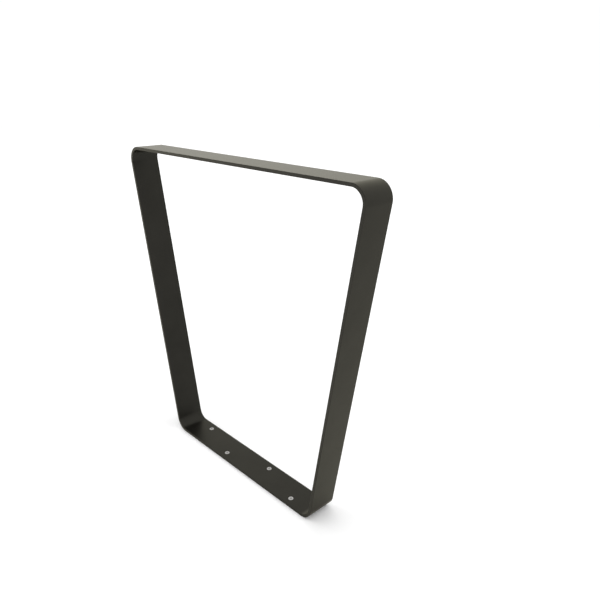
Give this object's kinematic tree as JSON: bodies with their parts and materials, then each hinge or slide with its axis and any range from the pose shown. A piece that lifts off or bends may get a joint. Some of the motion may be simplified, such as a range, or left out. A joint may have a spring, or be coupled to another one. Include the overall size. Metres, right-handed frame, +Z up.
{
  "type": "bike rack",
  "caption": "Surface-mounted bike rack of flat steel bar, bent into an open trapezoid that a bicycle leans on and is locked to.",
  "frame": {"origin": "middle of the base's underside, on the ground", "axes": "+X along the rack, from one leg to the other; +Y across the flat bar, from the front edge to the back edge; +Z up. The base lies on the ground at z = 0 and the anchors are below it"},
  "size_m": [0.8614, 0.08, 0.875],
  "materials": {
    "frame_coat": "satin powder coat, warm dark grey",
    "stainless_screws": "satin stainless steel",
    "zinc_shells": "zinc plated steel",
    "steel_plugs": "zinc plated steel"
  },
  "bodies": {
    "root": {"bent_frame": "frame_coat", "screw_1": "stainless_screws", "screw_2": "stainless_screws", "screw_3": "stainless_screws", "screw_4": "stainless_screws", "anchor_shell_1": "zinc_shells", "anchor_shell_2": "zinc_shells", "anchor_shell_3": "zinc_shells", "anchor_shell_4": "zinc_shells", "anchor_plug_1": "steel_plugs", "anchor_plug_2": "steel_plugs", "anchor_plug_3": "steel_plugs", "anchor_plug_4": "steel_plugs"}
  },
  "joints": []
}
